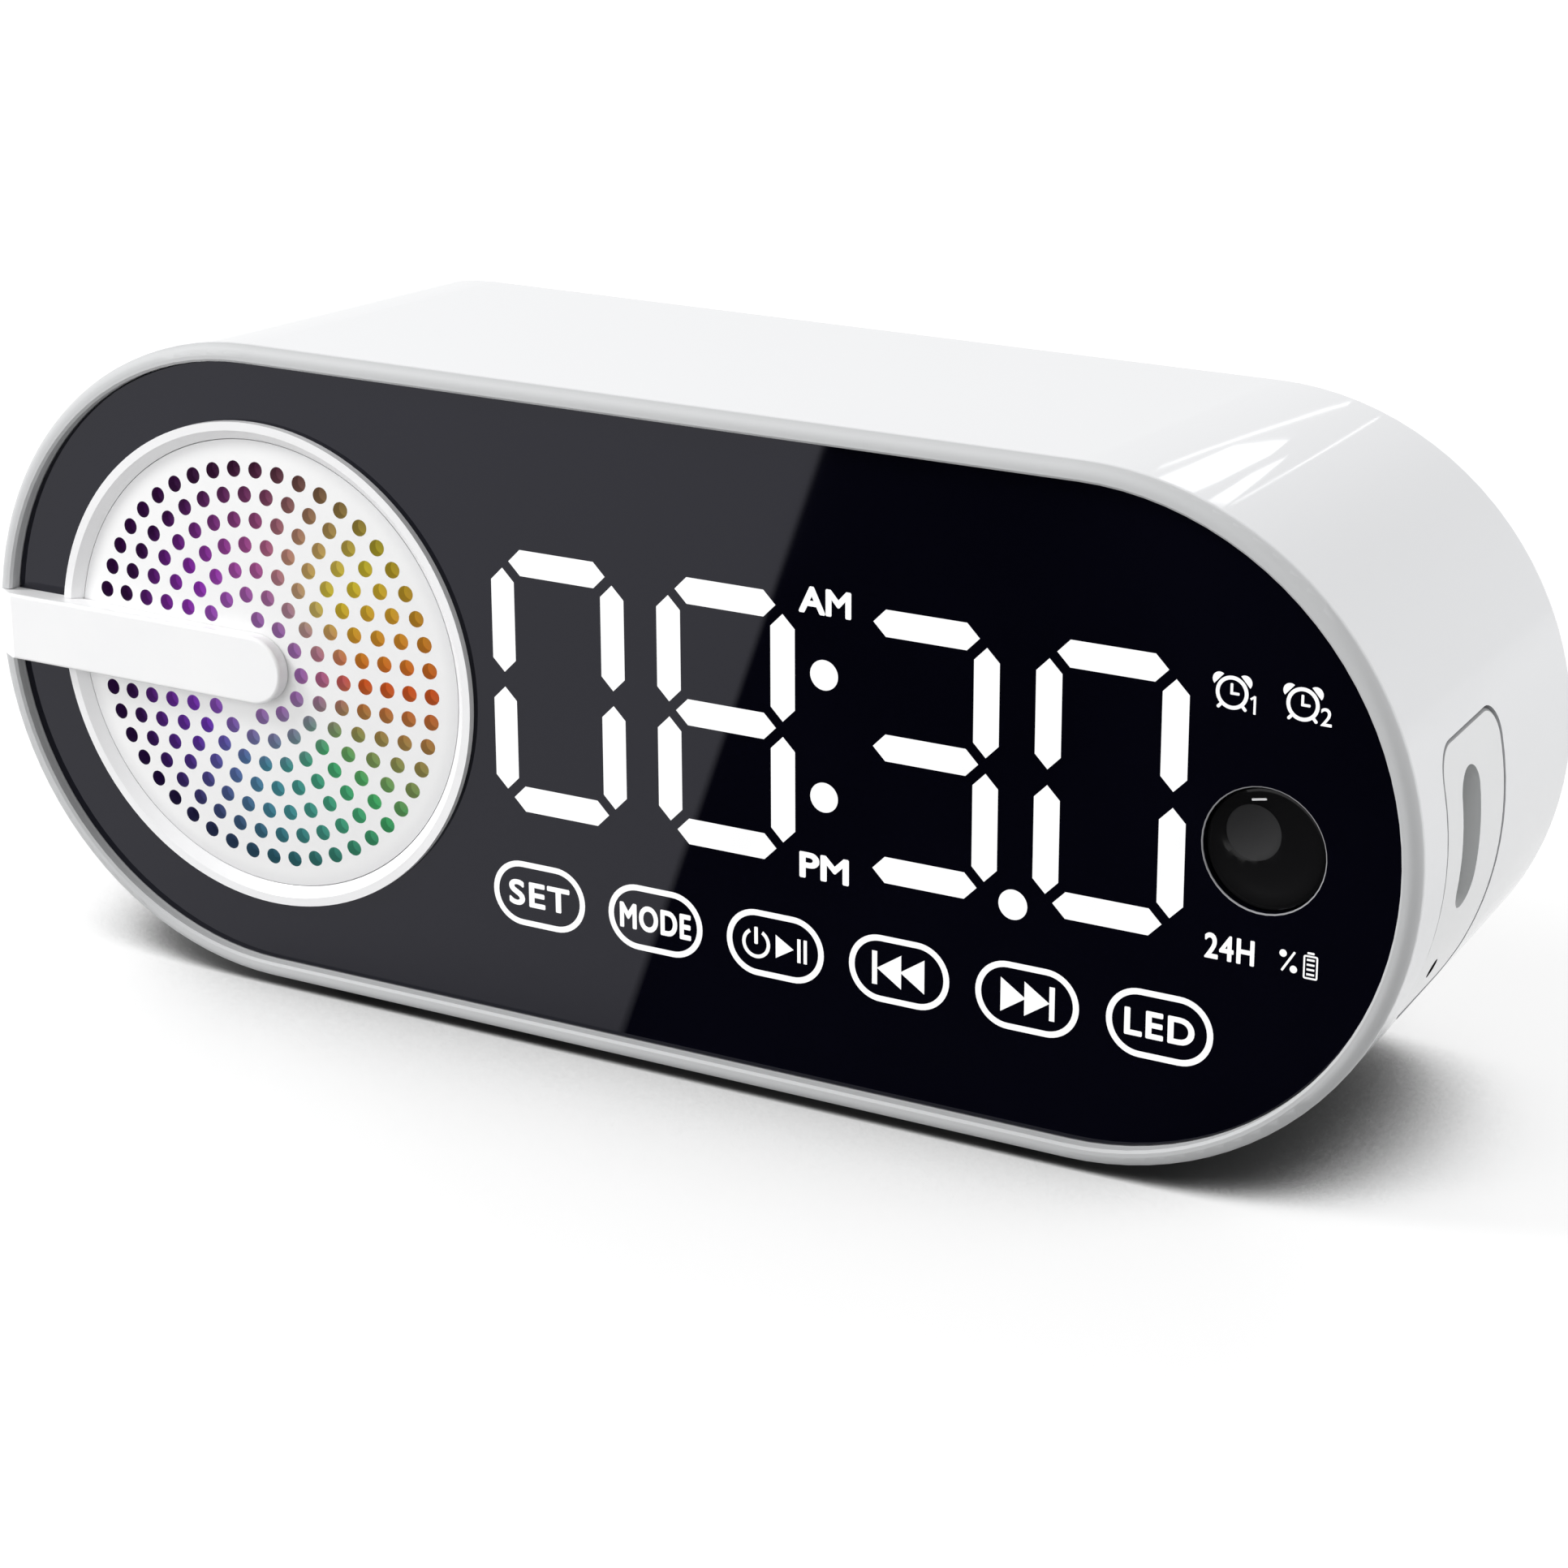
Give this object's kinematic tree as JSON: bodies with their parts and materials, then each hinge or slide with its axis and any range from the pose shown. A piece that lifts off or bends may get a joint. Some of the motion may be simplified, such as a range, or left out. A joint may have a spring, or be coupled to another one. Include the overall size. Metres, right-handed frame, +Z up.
{
  "type": "digital alarm clock",
  "caption": "Oval digital alarm clock with a smoked front panel, lit segment display, touch keys, round perforated speaker crossed by a bar, and a flush jog knob.",
  "frame": {"origin": "middle of the bounding box on the floor, below the body and between its front and back", "axes": "+X to the right as seen from the front, +Y from the front to the back, +Z up"},
  "size_m": [0.189, 0.056, 0.081],
  "materials": {
    "shell_white": "glossy",
    "cover_white": "satin",
    "plate_white": "satin",
    "ring_white": "glossy",
    "grille_white": "satin",
    "bar_white": "glossy",
    "smoked_acrylic": "glossy",
    "knob_black": "glossy",
    "foot_rubber": "matte",
    "screw_steel": "zinc plated",
    "black_tape": "matte",
    "black_plastic": "textured",
    "frost_film": "matte",
    "glow_film": "matte, lit from behind",
    "reflector_white": "matte",
    "board_green": "solder mask",
    "board_white": "solder mask",
    "lamp_resin": "clear resin",
    "spring_gold": "gold plated",
    "gasket_foam": "foam",
    "basket_steel": "satin",
    "roll_rubber": "satin",
    "cone_paper": "matte",
    "coil_copper": "enamelled copper wire",
    "pole_steel": "zinc plated",
    "magnet_ferrite": "matte",
    "shaft_steel": "turned",
    "encoder_case": "satin",
    "chip_black": "matte",
    "radio_can": "tin plated",
    "socket_nickel": "nickel plated",
    "cell_wrap": "plastic sleeve"
  },
  "bodies": {
    "housing": {"body_shell": "shell_white", "rear_cover": "cover_white", "cover_screws": "screw_steel", "port_plate": "plate_white", "microphone": "chip_black", "foot_front_left": "foot_rubber", "foot_front_right": "foot_rubber", "foot_rear_left": "foot_rubber", "foot_rear_right": "foot_rubber", "front_panel": "smoked_acrylic", "panel_tape": "black_tape", "inner_frame": "black_plastic", "frame_screws": "screw_steel", "display_film": "frost_film", "display_reflector": "reflector_white", "display_board": "board_green", "segment_lamps": "lamp_resin", "touch_springs": "spring_gold", "display_screws": "screw_steel", "speaker_bezel": "ring_white", "grille_disc": "grille_white", "grille_film": "glow_film", "grille_retainer": "reflector_white", "light_ring_board": "board_white", "ring_lamps": "lamp_resin", "arm_bar": "bar_white", "sound_chamber": "black_plastic", "chamber_screws": "screw_steel", "speaker_gasket": "gasket_foam", "speaker_basket": "basket_steel", "speaker_screws": "screw_steel", "speaker_surround": "roll_rubber", "speaker_cone": "cone_paper", "dust_cap": "cone_paper", "voice_coil": "coil_copper", "top_plate": "pole_steel", "magnet_ring": "magnet_ferrite", "pole_yoke": "pole_steel", "encoder_bush": "shaft_steel", "encoder_body": "encoder_case", "main_board": "board_green", "board_screws": "screw_steel", "board_header": "chip_black", "board_chips": "chip_black", "radio_module": "radio_can", "usb_socket": "socket_nickel", "battery_cradle": "black_plastic", "battery_cell": "cell_wrap"},
    "knob": {"volume_knob": "knob_black", "knob_shaft": "shaft_steel"}
  },
  "joints": [
    {"name": "knob_turn", "type": "hinge", "parent": "housing", "child": "knob", "pos_m": [0.0765, -0.02443, 0.04125], "axis": [0, 1, 0], "continuous": true}
  ]
}
